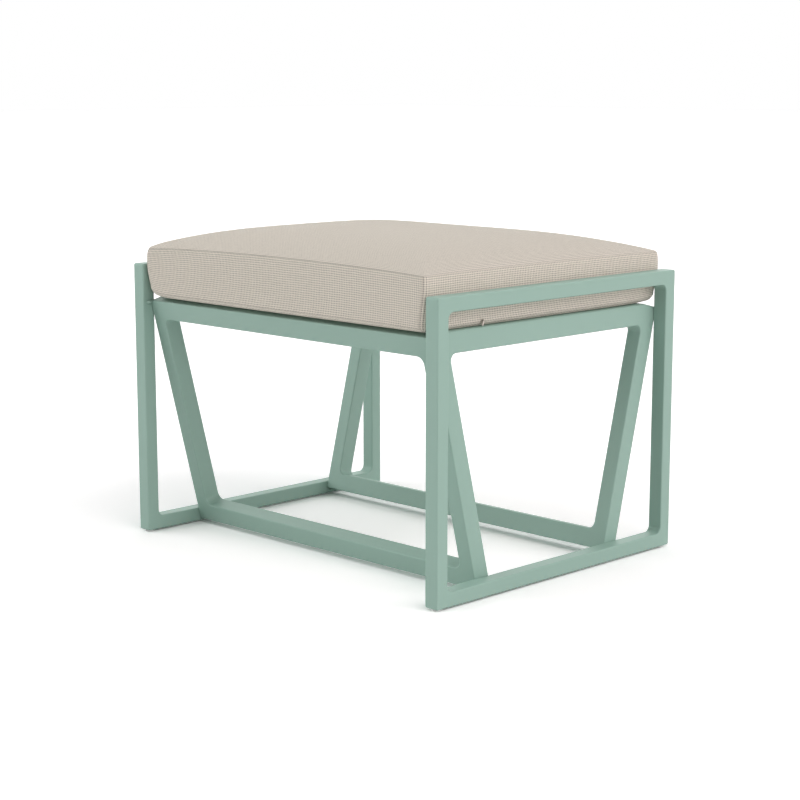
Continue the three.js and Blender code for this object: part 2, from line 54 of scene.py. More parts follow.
camera_data = bpy.data.cameras.new("Camera")
camera_data.sensor_width = CAMERA_SENSOR
camera_data.lens = CAMERA_LENS
camera = bpy.data.objects.new("Camera", camera_data)
bpy.context.scene.collection.objects.link(camera)
camera.location = CAMERA_PLACE
camera.rotation_euler = (math.radians(90 - CAMERA_DOWN), 0, math.radians(CAMERA_ROUND))
bpy.context.scene.camera = camera
bpy.context.scene.view_settings.view_transform = "Standard"


# Studio: a plain pale floor with soft light from large lamps all round. The floor is whiter
# where the camera sees it, and keeps the stool's shadow. The sky is white and gives no light.
FLOOR_SIZE = 60
FLOOR_COLOR = (0.94, 0.94, 0.94, 1)
FLOOR_SEEN = (1.30, 1.30, 1.30, 1)
SKY_COLOR = (1, 1, 1, 1)


def wire(tree, kind, **settings):
    """A node of the given kind in a tree, with its inputs set or joined by name or number."""
    node = tree.nodes.new(kind)
    joined = settings.pop("inputs", {})
    for key, value in settings.items():
        setattr(node, key, value)
    for socket, value in joined.items():
        if isinstance(value, bpy.types.NodeSocket):
            tree.links.new(value, node.inputs[socket])
        else:
            node.inputs[socket].default_value = value
    return node


def maths(tree, operation, *values):
    inputs = dict(enumerate(values))
    return wire(tree, "ShaderNodeMath", operation=operation, inputs=inputs).outputs["Value"]


def looked_at(tree):
    """1 on rays from the camera, and on those that a glossy or clear surface sends on."""
    rays = wire(tree, "ShaderNodeLightPath").outputs
    looked = maths(tree, "MAXIMUM", rays["Is Camera Ray"], rays["Is Glossy Ray"])
    return maths(tree, "MAXIMUM", looked, rays["Is Transmission Ray"])


bpy.ops.object.select_all(action="DESELECT")
bpy.ops.mesh.primitive_plane_add(size=FLOOR_SIZE, location=(0, 0, 0))
floor = bpy.context.object
floor.name = "Floor"
floor_finish = bpy.data.materials.new("Studio floor")
floor_finish.use_nodes = True
tree = floor_finish.node_tree
matt = tree.nodes["Principled BSDF"]
matt.inputs["Roughness"].default_value = 0.9
matt.inputs["Specular IOR Level"].default_value = 0.0
whiter = wire(tree, "ShaderNodeMix", data_type="RGBA", clamp_result=False)
floor_colors = [socket for socket in whiter.inputs if socket.type == "RGBA"]
floor_colors[0].default_value = FLOOR_COLOR
floor_colors[1].default_value = FLOOR_SEEN
tree.links.new(looked_at(tree), whiter.inputs[0])
mixed = [socket for socket in whiter.outputs if socket.type == "RGBA"][0]
tree.links.new(mixed, matt.inputs["Base Color"])
floor.data.materials.append(floor_finish)

sky = bpy.data.worlds.new("Studio sky")
bpy.context.scene.world = sky
sky.use_nodes = True
backdrop = sky.node_tree.nodes["Background"]
backdrop.inputs["Color"].default_value = SKY_COLOR
sky.node_tree.links.new(looked_at(sky.node_tree), backdrop.inputs["Strength"])

# Each lamp is a wide soft patch of light: its strength, its tint, and where it stands round
# the stool and above the floor, in degrees
LAMP_SPREAD = 70
WARM = (1.0, 0.90, 0.92)
WHITE = (1.0, 1.0, 1.0)
for name, strength, tint, around, above in (
    ("Right key light", 1.70, WARM, 0, 28),
    ("Right high light", 0.66, WHITE, 0, 58),
    ("Left front light", 1.79, WHITE, 225, 28),
    ("Left back light", 1.05, WHITE, 135, 28),
    ("Right back light", 0.61, WHITE, 45, 28),
    ("Front high light", 0.11, WHITE, 270, 58),
):
    lamp_data = bpy.data.lights.new(name, "SUN")
    lamp_data.energy = strength
    lamp_data.color = tint
    lamp_data.angle = math.radians(LAMP_SPREAD)
    lamp = bpy.data.objects.new(name, lamp_data)
    bpy.context.scene.collection.objects.link(lamp)
    around, above = math.radians(around), math.radians(above)
    towards = Vector(
        (math.cos(around) * math.cos(above), math.sin(around) * math.cos(above), math.sin(above))
    )
    lamp.rotation_euler = towards.to_track_quat("Z", "Y").to_euler()


# End loops: one upright rectangle of 23 by 21 mm aluminium tube at each end. The four tubes
# are mitred, welded and ground flush, so the powder coat hides the joints.
END_TUBE_WIDTH = 0.023
END_TUBE_HEIGHT = 0.021
END_DEPTH = 0.509
END_HEIGHT = 0.420
END_CENTRE_X = 0.3135
END_FILLET = 0.010
TUBE_CORNER = 0.003
TUBE_EDGE = 0.002
CORNER_STEPS = 4
EDGE_STEPS = 6
FILLET_STEPS = 8
GLIDE_HEIGHT = 0.003
# What counts as along an axis, as aslant, and as in the same place
ALONG = 0.9
ASLANT = 0.1
NEAR = 0.0001


def pick(kind, test):
    """In edit mode, selects the faces, edges or vertices that pass a test, and nothing else."""
    shape = bmesh.from_edit_mesh(bpy.context.object.data)
    modes = tuple(kind == mode for mode in ("verts", "edges", "faces"))
    bpy.context.tool_settings.mesh_select_mode = modes
    for group in (shape.verts, shape.edges, shape.faces):
        for item in group:
            item.select = False
    for item in getattr(shape, kind):
        if test(item):
            item.select = True
    shape.select_flush_mode()
    bmesh.update_edit_mesh(bpy.context.object.data)


def pick_all():
    pick("faces", lambda face: True)


def middle_of(edge):
    return (edge.verts[0].co + edge.verts[1].co) / 2


def direction_of(edge):
    return (edge.verts[1].co - edge.verts[0].co).normalized()


def bevel_picked(width, steps):
    bpy.ops.mesh.bevel(
        offset=width, offset_type="OFFSET", segments=steps, profile=0.5, affect="EDGES"
    )


def select_only(*pieces):
    """Selects these pieces and nothing else, and makes the first the active one."""
    bpy.ops.object.select_all(action="DESELECT")
    for piece in pieces:
        piece.select_set(True)
    if pieces:
        bpy.context.view_layer.objects.active = pieces[0]


def apply_place(piece):
    """Puts the piece's origin at the world's, with its place, turn and size in its mesh."""
    select_only(piece)
    bpy.ops.object.transform_apply(location=True, rotation=True, scale=True)


def add_block(name, size, centre):
    select_only()
    bpy.ops.mesh.primitive_cube_add(size=1, location=centre)
    block = bpy.context.object
    block.name = name
    block.scale = size
    apply_place(block)
    return block


def finish_modifiers(piece):
    select_only(piece)
    for modifier in list(piece.modifiers):
        bpy.ops.object.modifier_apply(modifier=modifier.name)


def flat_normals(piece):
    """Shades the piece smooth, with its flat faces kept flat up to their rounded edges."""
    select_only(piece)
    bpy.ops.object.shade_smooth()
    weighted = piece.modifiers.new("Flat faces", "WEIGHTED_NORMAL")
    weighted.keep_sharp = True
    weighted.weight = 100
    finish_modifiers(piece)


def round_edges(piece, width, steps, angle=35):
    bevel = piece.modifiers.new("Edges", "BEVEL")
    bevel.width = width
    bevel.segments = steps
    bevel.limit_method = "ANGLE"
    bevel.angle_limit = math.radians(angle)
    bevel.use_clamp_overlap = False
    finish_modifiers(piece)
    flat_normals(piece)


def tube_loop(name, size, foot, head, side, fillet, axis):
    """A flat loop of tube from a block: its opening is inset, bridged and filleted.

    size is X, Y, Z. axis is the block's thin direction, which the opening goes through.
    foot, head and side are the heights of its lower and upper tubes and the width of the others.
    """
    across = 1 - axis
    middle = size[2] / 2
    opening = size[across] / 2 - side
    outside = size[across] / 2 - TUBE_EDGE

    def inside(vert):
        return abs(vert.co[across]) < opening + TUBE_EDGE

    def through(edge):
        return abs(direction_of(edge)[axis]) > ALONG

    def aslant(edge):
        direction = direction_of(edge)
        return min(abs(direction[across]), abs(direction.z)) > ASLANT

    loop = add_block(name, size, (0, 0, middle))
    bpy.ops.object.mode_set(mode="EDIT")
    pick("faces", lambda face: abs(face.normal[axis]) > ALONG)
    bpy.ops.mesh.inset(thickness=side, depth=0, use_individual=True)
    bpy.ops.mesh.bridge_edge_loops()
    pick("verts", lambda vert: inside(vert) and vert.co[2] < middle)
    bpy.ops.transform.translate(value=(0, 0, foot - side))
    pick("verts", lambda vert: inside(vert) and vert.co[2] > middle)
    bpy.ops.transform.translate(value=(0, 0, side - head))
    # Its front and back are cut midway rather than at the corners, which the bevels need clear
    pick_all()
    cut = [1.0 * (number == across) for number in range(3)]
    bpy.ops.mesh.bisect(plane_co=(0, 0, 0), plane_no=cut)
    pick("edges", aslant)
    bpy.ops.mesh.dissolve_edges(use_verts=False)
    pick(
        "edges",
        lambda edge: through(edge) and abs(middle_of(edge)[across]) < opening + TUBE_EDGE,
    )
    bevel_picked(fillet, FILLET_STEPS)
    pick("edges", lambda edge: through(edge) and abs(middle_of(edge)[across]) > outside)
    bevel_picked(TUBE_CORNER, CORNER_STEPS)
    pick_all()
    bpy.ops.mesh.normals_make_consistent(inside=False)
    bpy.ops.object.mode_set(mode="OBJECT")
    return loop


# The tubes are powder coated in a pale grey green, sprayed on and baked. The paint is satin, with
# the faint orange peel of the powder, and its tone changes a little over the tubes.
VECTOR = ("Vector", "NodeSocketVector", None)
SURFACE = (
    ("Color", "NodeSocketColor"),
    ("Roughness", "NodeSocketFloat"),
    ("Height", "NodeSocketFloat"),
)


def new_group(name, inputs, outputs):
    group = bpy.data.node_groups.new(name, "ShaderNodeTree")
    for label, kind, value in inputs:
        socket = group.interface.new_socket(label, in_out="INPUT", socket_type=kind)
        if value is not None:
            socket.default_value = value
    for label, kind in outputs:
        group.interface.new_socket(label, in_out="OUTPUT", socket_type=kind)
    given = group.nodes.new("NodeGroupInput").outputs
    return group, given, group.nodes.new("NodeGroupOutput")


def noise_on(tree, vector, scale, detail, output="Fac"):
    inputs = {"Vector": vector, "Scale": scale, "Detail": detail}
    return wire(tree, "ShaderNodeTexNoise", inputs=inputs).outputs[output]


def spread(tree, value, low, high, start=0.0, end=1.0):
    """Takes a value between start and end to one between low and high."""
    inputs = {"Value": value, "From Min": start, "From Max": end, "To Min": low, "To Max": high}
    return wire(tree, "ShaderNodeMapRange", inputs=inputs).outputs["Result"]


def toned(tree, color, tone):
    inputs = {0: color, "Scale": tone}
    return wire(tree, "ShaderNodeVectorMath", operation="SCALE", inputs=inputs).outputs["Vector"]


def put_out(tree, results, **values):
    for label, value in values.items():
        tree.links.new(value, results.inputs[label])


def finish_from(name, group, values, bump_strength, bump_depth, uv_map=None):
    """A material from a group, on Object coordinates or a UV map: it, its shader and its group."""
    finish = bpy.data.materials.new(name)
    finish.use_nodes = True
    tree = finish.node_tree
    shader = tree.nodes["Principled BSDF"]
    if uv_map:
        place = wire(tree, "ShaderNodeUVMap", uv_map=uv_map).outputs["UV"]
    else:
        place = wire(tree, "ShaderNodeTexCoord").outputs["Object"]
    pattern = wire(tree, "ShaderNodeGroup", node_tree=group)
    tree.links.new(place, pattern.inputs["Vector"])
    for label, value in values.items():
        pattern.inputs[label].default_value = value
    bump = wire(
        tree,
        "ShaderNodeBump",
        inputs={
            "Height": pattern.outputs["Height"],
            "Strength": bump_strength,
            "Distance": bump_depth,
        },
    )
    tree.links.new(pattern.outputs["Color"], shader.inputs["Base Color"])
    if "Roughness" in pattern.outputs:
        tree.links.new(pattern.outputs["Roughness"], shader.inputs["Roughness"])
    tree.links.new(bump.outputs["Normal"], shader.inputs["Normal"])
    return finish, shader, pattern


peel, given, results = new_group(
    "Powder coat peel",
    (
        VECTOR,
        ("Color", "NodeSocketColor", (0.5, 0.5, 0.5, 1)),
        ("Grain size", "NodeSocketFloat", 900.0),
        ("Tone change", "NodeSocketFloat", 0.04),
    ),
    SURFACE,
)
fine = noise_on(peel, given["Vector"], scale=given["Grain size"], detail=2.0)
broad = noise_on(peel, given["Vector"], scale=7.0, detail=3.0)
tone = maths(peel, "MULTIPLY_ADD", broad, given["Tone change"], 1.0)
tone = maths(peel, "MULTIPLY_ADD", given["Tone change"], -0.5, tone)
put_out(
    peel,
    results,
    Color=toned(peel, given["Color"], tone),
    Roughness=spread(peel, fine, low=0.44, high=0.58),
    Height=fine,
)


def powder_coat(name, color, grain_size, tone_change):
    values = {"Color": color, "Grain size": grain_size, "Tone change": tone_change}
    paint, shader, _ = finish_from(name, peel, values, bump_strength=0.12, bump_depth=0.0002)
    shader.inputs["Specular IOR Level"].default_value = 0.40
    return paint


frame_paint = powder_coat(
    "Grey green powder coat", (0.274, 0.417, 0.354, 1), grain_size=900.0, tone_change=0.04
)

for side, sign in (("left", -1), ("right", 1)):
    end_loop = tube_loop(
        side + "_end_loop",
        (END_TUBE_WIDTH, END_DEPTH, END_HEIGHT),
        foot=END_TUBE_HEIGHT,
        head=END_TUBE_HEIGHT,
        side=END_TUBE_HEIGHT,
        fillet=END_FILLET,
        axis=0,
    )
    end_loop.location = (sign * END_CENTRE_X, 0, GLIDE_HEIGHT)
    apply_place(end_loop)
    round_edges(end_loop, TUBE_EDGE, EDGE_STEPS)
    end_loop.data.materials.append(frame_paint)
    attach(end_loop, "frame")
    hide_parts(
        side + "_front_post",
        side + "_back_post",
        side + "_top_rail",
        side + "_bottom_rail",
    )


# Leaning loops: a front and a back rectangle of 25 by 28 mm tube, which lean in to their feet.
# They are welded between the end loops and ground smooth.
LEAN = math.radians(14)
LOOP_HALF_WIDTH = 0.3017
LOOP_DEPTH = 0.028
LOOP_HEIGHT = 0.37074
LEG_WIDTH = 0.025
SEAT_RAIL_HEIGHT = 0.0295
FOOT_RAIL_HEIGHT = 0.028
LOOP_FILLET = 0.011
LOOP_FOOT_Y = 0.15161
LOOP_FOOT_Z = 0.0065

for front, sign in (("front", -1), ("back", 1)):
    leaning_loop = tube_loop(
        front + "_leaning_loop",
        (LOOP_HALF_WIDTH * 2, LOOP_DEPTH, LOOP_HEIGHT),
        foot=FOOT_RAIL_HEIGHT,
        head=SEAT_RAIL_HEIGHT,
        side=LEG_WIDTH,
        fillet=LOOP_FILLET,
        axis=1,
    )
    leaning_loop.location.y = -sign * LOOP_DEPTH / 2
    apply_place(leaning_loop)
    round_edges(leaning_loop, TUBE_EDGE, EDGE_STEPS)
    leaning_loop.rotation_euler.x = -sign * LEAN
    leaning_loop.location = (0, sign * LOOP_FOOT_Y, LOOP_FOOT_Z)
    apply_place(leaning_loop)
    leaning_loop.data.materials.append(frame_paint)
    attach(leaning_loop, "frame")
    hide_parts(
        *[front + part for part in ("_left_leg", "_right_leg", "_seat_rail", "_foot_rail")],
    )


# Side rails: a 25 by 31 mm tube between the tops of the leaning loops at each end. Their ends
# are welded into the legs and ground flush, and the corner under each end is filled round.
SEAT_TOP = 0.373
SIDE_RAIL_HEIGHT = 0.031
SIDE_RAIL_FILLET = 0.010
# The block that a rail is cut from is longer than the rail
BLOCK_LENGTH = 1
BLOCK_END = 0.4
WELD_DEPTH = 0.0022
# The paint stands proud of the leg's faces, and the fillet starts just inside the leg
PAINT_BUILD = 0.00002
FILLET_SINK = 0.00005
BESIDE = 0.001
SQUARE = 0.99
SHARP = math.radians(60)


def inner_face(z):
    """How far the leaning loops' inner faces stand from the middle at a height."""
    return LOOP_FOOT_Y + (z - LOOP_FOOT_Z) * math.tan(LEAN) - LOOP_DEPTH / math.cos(LEAN)


def depth_in_leg(vert):
    return (abs(vert.co.y) - inner_face(vert.co.z)) * math.cos(LEAN)


def shallowest(edge):
    return min(depth_in_leg(vert) for vert in edge.verts)


def deepest(edge):
    return max(depth_in_leg(vert) for vert in edge.verts)


def down_the_leg(end, reach):
    return (0, -end * reach * math.sin(LEAN), -reach * math.cos(LEAN))


underside = SEAT_TOP - SIDE_RAIL_HEIGHT
fillet_reach = SIDE_RAIL_FILLET / math.tan(math.radians(90) / 2 - LEAN / 2)

for side, sign in (("left", -1), ("right", 1)):
    side_rail = add_block(
        side + "_side_rail",
        (LEG_WIDTH + 2 * PAINT_BUILD, BLOCK_LENGTH, SIDE_RAIL_HEIGHT),
        (sign * (LOOP_HALF_WIDTH - LEG_WIDTH / 2), 0, (SEAT_TOP + underside) / 2),
    )
    bpy.ops.object.mode_set(mode="EDIT")
    for end in (-1, 1):
        # The end is cut to the lean, a weld's depth inside the leg
        for level in (SEAT_TOP, underside):
            pick(
                "verts",
                lambda vert: vert.co.y * end > BLOCK_END and abs(vert.co.z - level) < BESIDE,
            )
            reach = inner_face(level) + WELD_DEPTH / math.cos(LEAN) - BLOCK_LENGTH / 2
            bpy.ops.transform.translate(value=(0, end * reach, 0))
        pick_all()
        bpy.ops.mesh.bisect(
            plane_co=(0, end * (inner_face(SEAT_TOP) + FILLET_SINK / math.cos(LEAN)), SEAT_TOP),
            plane_no=(0, math.cos(LEAN), -end * math.sin(LEAN)),
        )
        # Its top follows the loop's sloping top
        pick(
            "verts",
            lambda vert: vert.co.y * end > 0
            and depth_in_leg(vert) > WELD_DEPTH / 2
            and vert.co.z > SEAT_TOP - BESIDE,
        )
        bpy.ops.transform.translate(value=down_the_leg(end, WELD_DEPTH * math.tan(LEAN)))
        # Its lower end runs down in the leg, and the corner is filled round
        pick(
            "faces",
            lambda face: face.normal.z < -ALONG
            and face.calc_center_median().y * end > inner_face(underside) + WELD_DEPTH / 4,
        )
        down = down_the_leg(end, fillet_reach + WELD_DEPTH)
        bpy.ops.mesh.extrude_region_move(TRANSFORM_OT_translate={"value": down})
        pick("edges", lambda edge: all(abs(face.normal.x) > ALONG for face in edge.link_faces))
        bpy.ops.mesh.dissolve_edges(use_verts=False)
        pick(
            "edges",
            lambda edge: abs(direction_of(edge).x) > SQUARE
            and abs(middle_of(edge).z - underside) < NEAR
            and abs(middle_of(edge).y * end - inner_face(underside)) < NEAR,
        )
        bevel_picked(fillet_reach, FILLET_STEPS)
    # The outer top edge is as round as the loops' outer corners, and the others as their edges
    pick(
        "edges",
        lambda edge: abs(direction_of(edge).y) > ALONG
        and middle_of(edge).z > SEAT_TOP - BESIDE
        and abs(middle_of(edge).x) > LOOP_HALF_WIDTH - NEAR,
    )
    bevel_picked(TUBE_CORNER, CORNER_STEPS)
    pick(
        "edges",
        lambda edge: abs(direction_of(edge).x) < 1 - SQUARE
        and edge.calc_face_angle(0) > SHARP
        and shallowest(edge) < WELD_DEPTH / 2
        and not (middle_of(edge).z < underside - BESIDE and deepest(edge) > WELD_DEPTH / 2),
    )
    bevel_picked(TUBE_EDGE, EDGE_STEPS)
    pick("edges", lambda edge: shallowest(edge) > WELD_DEPTH - NEAR)
    bpy.ops.mesh.mark_sharp()
    bpy.ops.object.mode_set(mode="OBJECT")
    side_rail.location.z = PAINT_BUILD
    apply_place(side_rail)
    flat_normals(side_rail)
    side_rail.data.materials.append(frame_paint)
    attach(side_rail, "frame")
    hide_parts(side + "_seat_rail")


# Weld beads: short beads of filler where the end loops and the leaning loops meet, laid as a
# row of overlapping drops. They are left as laid and painted over.
UPPER_BEAD_RADIUS = 0.0027
UPPER_BEAD_STEP = 0.0017
LOWER_BEAD_RADIUS = 0.0021
LOWER_BEAD_STEP = 0.0014
# Every second drop is smaller, and so are those at the ends
DROP_CHANGE_SHARE = 0.12
END_TAPER_SHARE = 0.10
MELT_SIZE = 0.0003


def weld_bead(node, along, radius, step):
    """A row of drops along a direction, melted into one bead, in the place of a CAD bead."""
    low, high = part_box(node)
    centre = (Vector(low) + Vector(high)) / 2
    reach = max(high[1] - low[1], high[2] - low[2]) / 2 - radius
    count = max(2, round(reach * 2 / step) + 1)
    drops = []
    for index in range(count):
        share = index / (count - 1) * 2 - 1
        swell = 1.0 - DROP_CHANGE_SHARE * (index % 2) - END_TAPER_SHARE * share * share
        select_only()
        bpy.ops.mesh.primitive_uv_sphere_add(
            segments=20,
            ring_count=12,
            radius=radius * swell,
            location=centre + Vector(along) * reach * share,
        )
        drops.append(bpy.context.object)
    select_only(*drops)
    bpy.ops.object.join()
    bead = bpy.context.object
    bead.name = node + "_bead"
    apply_place(bead)
    melt = bead.modifiers.new("Melt", "REMESH")
    melt.mode = "VOXEL"
    melt.voxel_size = MELT_SIZE
    melt.use_smooth_shade = True
    settle = bead.modifiers.new("Settle", "SMOOTH")
    settle.factor = 0.5
    settle.iterations = 3
    finish_modifiers(bead)
    bead.data.materials.clear()
    bead.data.materials.append(frame_paint)
    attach(bead, "frame")
    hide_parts(node)


for side in ("left", "right"):
    for front, sign in (("front", -1), ("back", 1)):
        outward = (0, sign, 0)
        weld_bead(f"{side}_{front}_upper_weld", outward, UPPER_BEAD_RADIUS, UPPER_BEAD_STEP)
        inward = (0, -sign * math.cos(LEAN), math.sin(LEAN))
        weld_bead(f"{side}_{front}_lower_weld", inward, LOWER_BEAD_RADIUS, LOWER_BEAD_STEP)


# Deck slats: six flat aluminium tubes from the front seat rail to the back one, which carry
# the cushion. Their open ends are cut to the lean of the rails and welded to them.
SLAT_COUNT = 6
SLAT_WALL = 0.0015
SLAT_CORNER = 0.002
SLAT_SMOOTH = math.radians(30)


def copy_of(piece, name):
    twin = piece.copy()
    twin.data = piece.data.copy()
    twin.name = name
    bpy.context.scene.collection.objects.link(twin)
    return twin


deck_paint = powder_coat(
    "Deck powder coat", (0.264, 0.401, 0.341, 1), grain_size=900.0, tone_change=0.05
)

low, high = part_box("deck_slat_1")
slat_size = [high[axis] - low[axis] for axis in range(3)]
first_slat = add_block("first_slat", slat_size, (0, 0, (low[2] + high[2]) / 2))
bpy.ops.object.mode_set(mode="EDIT")
pick("edges", lambda edge: abs(direction_of(edge).y) > ALONG)
bevel_picked(SLAT_CORNER, CORNER_STEPS)
pick("faces", lambda face: abs(face.normal.y) > ALONG)
bpy.ops.mesh.inset(thickness=SLAT_WALL, depth=0, use_individual=True)
bpy.ops.mesh.bridge_edge_loops()
end_shape = bmesh.from_edit_mesh(first_slat.data)
for vert in end_shape.verts:
    lean_in = (high[2] - vert.co.z) * math.tan(LEAN)
    vert.co.y -= math.copysign(lean_in, vert.co.y)
bmesh.update_edit_mesh(first_slat.data)
pick_all()
bpy.ops.mesh.normals_make_consistent(inside=False)
bpy.ops.object.mode_set(mode="OBJECT")
bpy.ops.object.shade_smooth_by_angle(angle=SLAT_SMOOTH)

for number in range(1, SLAT_COUNT + 1):
    node = f"deck_slat_{number}"
    low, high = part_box(node)
    slat = copy_of(first_slat, f"slat_{number}")
    slat.location.x = (low[0] + high[0]) / 2
    apply_place(slat)
    slat.data.materials.append(deck_paint)
    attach(slat, "frame")
    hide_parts(node)
bpy.data.objects.remove(first_slat)


# Glides: round pads of milky polyethylene under the corners of the end loops. Each is moulded
# with a stem, which is pressed into a hole in the tube.
GLIDE_RADIUS = 0.0065
GLIDE_PAD = 0.0027
GLIDE_RIM = 0.0028
GLIDE_DISH_SLOPE = 0.0004
GLIDE_DISH = 0.0005
GLIDE_EDGE = 0.0004
GLIDE_STEM_RADIUS = 0.003
GLIDE_STEM_TOP = 0.0088

milky, given, results = new_group(
    "Moulded plastic",
    (VECTOR, ("Color", "NodeSocketColor", (0.6, 0.6, 0.6, 1))),
    SURFACE,
)
cloud = noise_on(milky, given["Vector"], scale=260.0, detail=3.0)
scuff = noise_on(milky, given["Vector"], scale=1400.0, detail=2.0)
put_out(
    milky,
    results,
    Color=toned(milky, given["Color"], spread(milky, cloud, low=0.93, high=1.05)),
    Roughness=spread(milky, scuff, low=0.34, high=0.52),
    Height=scuff,
)

glide_plastic, shader, _ = finish_from(
    "Milky polyethylene",
    milky,
    {"Color": (0.93, 0.93, 0.91, 1)},
    bump_strength=0.15,
    bump_depth=0.0001,
)
shader.inputs["Subsurface Weight"].default_value = 0.7
shader.inputs["Subsurface Radius"].default_value = (0.004, 0.004, 0.004)
shader.inputs["Subsurface Scale"].default_value = 1.0

select_only()
bpy.ops.mesh.primitive_cylinder_add(
    vertices=48, radius=GLIDE_RADIUS, depth=GLIDE_PAD, location=(0, 0, GLIDE_PAD / 2)
)
first_glide = bpy.context.object
apply_place(first_glide)
bpy.ops.object.mode_set(mode="EDIT")
pick("faces", lambda face: face.normal.z < -ALONG)
bpy.ops.mesh.inset(thickness=GLIDE_RIM, depth=0)
bpy.ops.mesh.inset(thickness=GLIDE_DISH_SLOPE, depth=-GLIDE_DISH)
pick(
    "faces",
    lambda face: face.normal.z > ALONG and face.calc_center_median().z > GLIDE_PAD - NEAR,
)
bpy.ops.mesh.inset(thickness=GLIDE_RADIUS - GLIDE_STEM_RADIUS, depth=0)
bpy.ops.mesh.extrude_region_move(
    TRANSFORM_OT_translate={"value": (0, 0, GLIDE_STEM_TOP - GLIDE_PAD)}
)
bpy.ops.object.mode_set(mode="OBJECT")
round_edges(first_glide, GLIDE_EDGE, steps=3)

for side in ("left", "right"):
    for front in ("front", "back"):
        node = f"{side}_{front}_glide"
        low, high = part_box(node)
        glide = copy_of(first_glide, node + "_pad")
        glide.location = ((low[0] + high[0]) / 2, (low[1] + high[1]) / 2, 0)
        apply_place(glide)
        glide.data.materials.append(glide_plastic)
        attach(glide, "frame")
        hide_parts(node)
bpy.data.objects.remove(first_glide)


# Cushion cover: a box cushion of woven outdoor fabric. A crowned top panel, a band of four
# strips and a lower panel are sewn edge to edge with plain seams round a soft filling.
CUSHION_HALF_X = 0.2995
CUSHION_HALF_Y = 0.2525
CUSHION_BASE = 0.3733
BAND_TOP = 0.075
BAND_LOW = 0.0054
CROWN = 0.0245
CROWN_POWER = 5
BACK_CROWN_POWER = 3.5
EDGE_PUFF = 0.005
EDGE_PUFF_REACH = 0.009
# How far the top seam rises midway along each side
FRONT_LIFT = 0.006
BACK_LIFT = 0.002
LEFT_LIFT = 0.004
RIGHT_LIFT = 0.0015
LIFT_POWER = 8
# The filling draws the lower corners up: how much, and how far from the corner it fades
LEFT_DRAW = (1.8, 0.012)
RIGHT_BACK_DRAW = (0.9, 0.026)
RIGHT_FRONT_DRAW = (-0.25, 0.050)
DRAWN_SEAM = 0.006
DRAWN_PANEL = 0.0055
# At the left front corner the top seam drops and the top panel rises steeply from it
LEFT_FRONT_DROP = (0.0032, 0.028)
LEFT_FRONT_PUFF = (0.0058, 0.022)
LEFT_FRONT_STEEPNESS = (0.003, 0.040)
RIGHT_BACK_SOFTNESS = 0.25
RIGHT_FRONT_SHIFT = 0.7
# How far the lower panel is drawn in under its seam, and how soon that starts and fades
LOW_TUCK = (0.0026, 0.0045)
LOW_TUCK_START = 0.0010
LOW_SEAM_REACH = 0.0013
SEAM_SINK = 0.0007
PUCKER_SHARE = 0.5
PUCKER_SCALE = 70.0
# Height above the underside, how far the band is drawn in, and the radius of its corners
BAND_ROWS = (
    (BAND_LOW, 0.0020, 0.0150),
    (0.0085, 0.0016, 0.0158),
    (0.0130, 0.0013, 0.0160),
    (0.0210, 0.0006, 0.0143),
    (0.0350, 0.0001, 0.0112),
    (0.0480, 0.0000, 0.0088),
    (0.0620, 0.0005, 0.0072),
    (0.0700, 0.0012, 0.0068),
    (BAND_TOP, 0.0020, 0.0066),
)
# Grid lines beside a seam, and the steps between those further off: the panels' as shares
SEAM_GAPS = (0, 0.002, 0.0045, 0.008, 0.0125, 0.018, 0.025)
BAND_SEAM_GAPS = SEAM_GAPS[:5]
STEP_X_SHARE = 0.0245
STEP_Y_SHARE = 0.029
BAND_STEP = 0.0063
# Where the panels lie on the cloth's map, in metres
MAP_ASIDE = 0.8
MAP_ABOVE = 0.5
MAP_STEP = 0.1


def seam_steps(half, near, step):
    """Grid lines from one seam to the other, close together beside the seams."""
    inner = half - near[-1]
    count = math.ceil(inner * 2 / step)
    middle = [-inner + inner * 2 * index / count for index in range(count + 1)]
    return [-half + gap for gap in near[:-1]] + middle + [half - gap for gap in near[-2::-1]]


def band_at(height):
    for low_row, high_row in zip(BAND_ROWS, BAND_ROWS[1:]):
        if height <= high_row[0]:
            break
    share = (height - low_row[0]) / (high_row[0] - low_row[0])
    share = min(1.0, max(0.0, share))
    return [a + (b - a) * share for a, b in zip(low_row[1:], high_row[1:])]


def fading(amount_and_reach, distance):
    amount, reach = amount_and_reach
    return amount * math.exp(-distance / reach)


def with_round_corner(x, y, half_x, half_y, radius):
    """Draws the corners of a rectangle of rings into arcs."""
    over_x, over_y = abs(x) - (half_x - radius), abs(y) - (half_y - radius)
    if over_x > 0 and over_y > 0:
        ring = max(over_x, over_y)
        # The seam at the right front corner is sewn a little to the front
        if x > 0 and y < 0:
            over_x *= 1 - RIGHT_FRONT_SHIFT * over_y / radius
        share = ring / math.hypot(over_x, over_y)
        x = math.copysign(half_x - radius + over_x * share, x)
        y = math.copysign(half_y - radius + over_y * share, y)
    return x, y


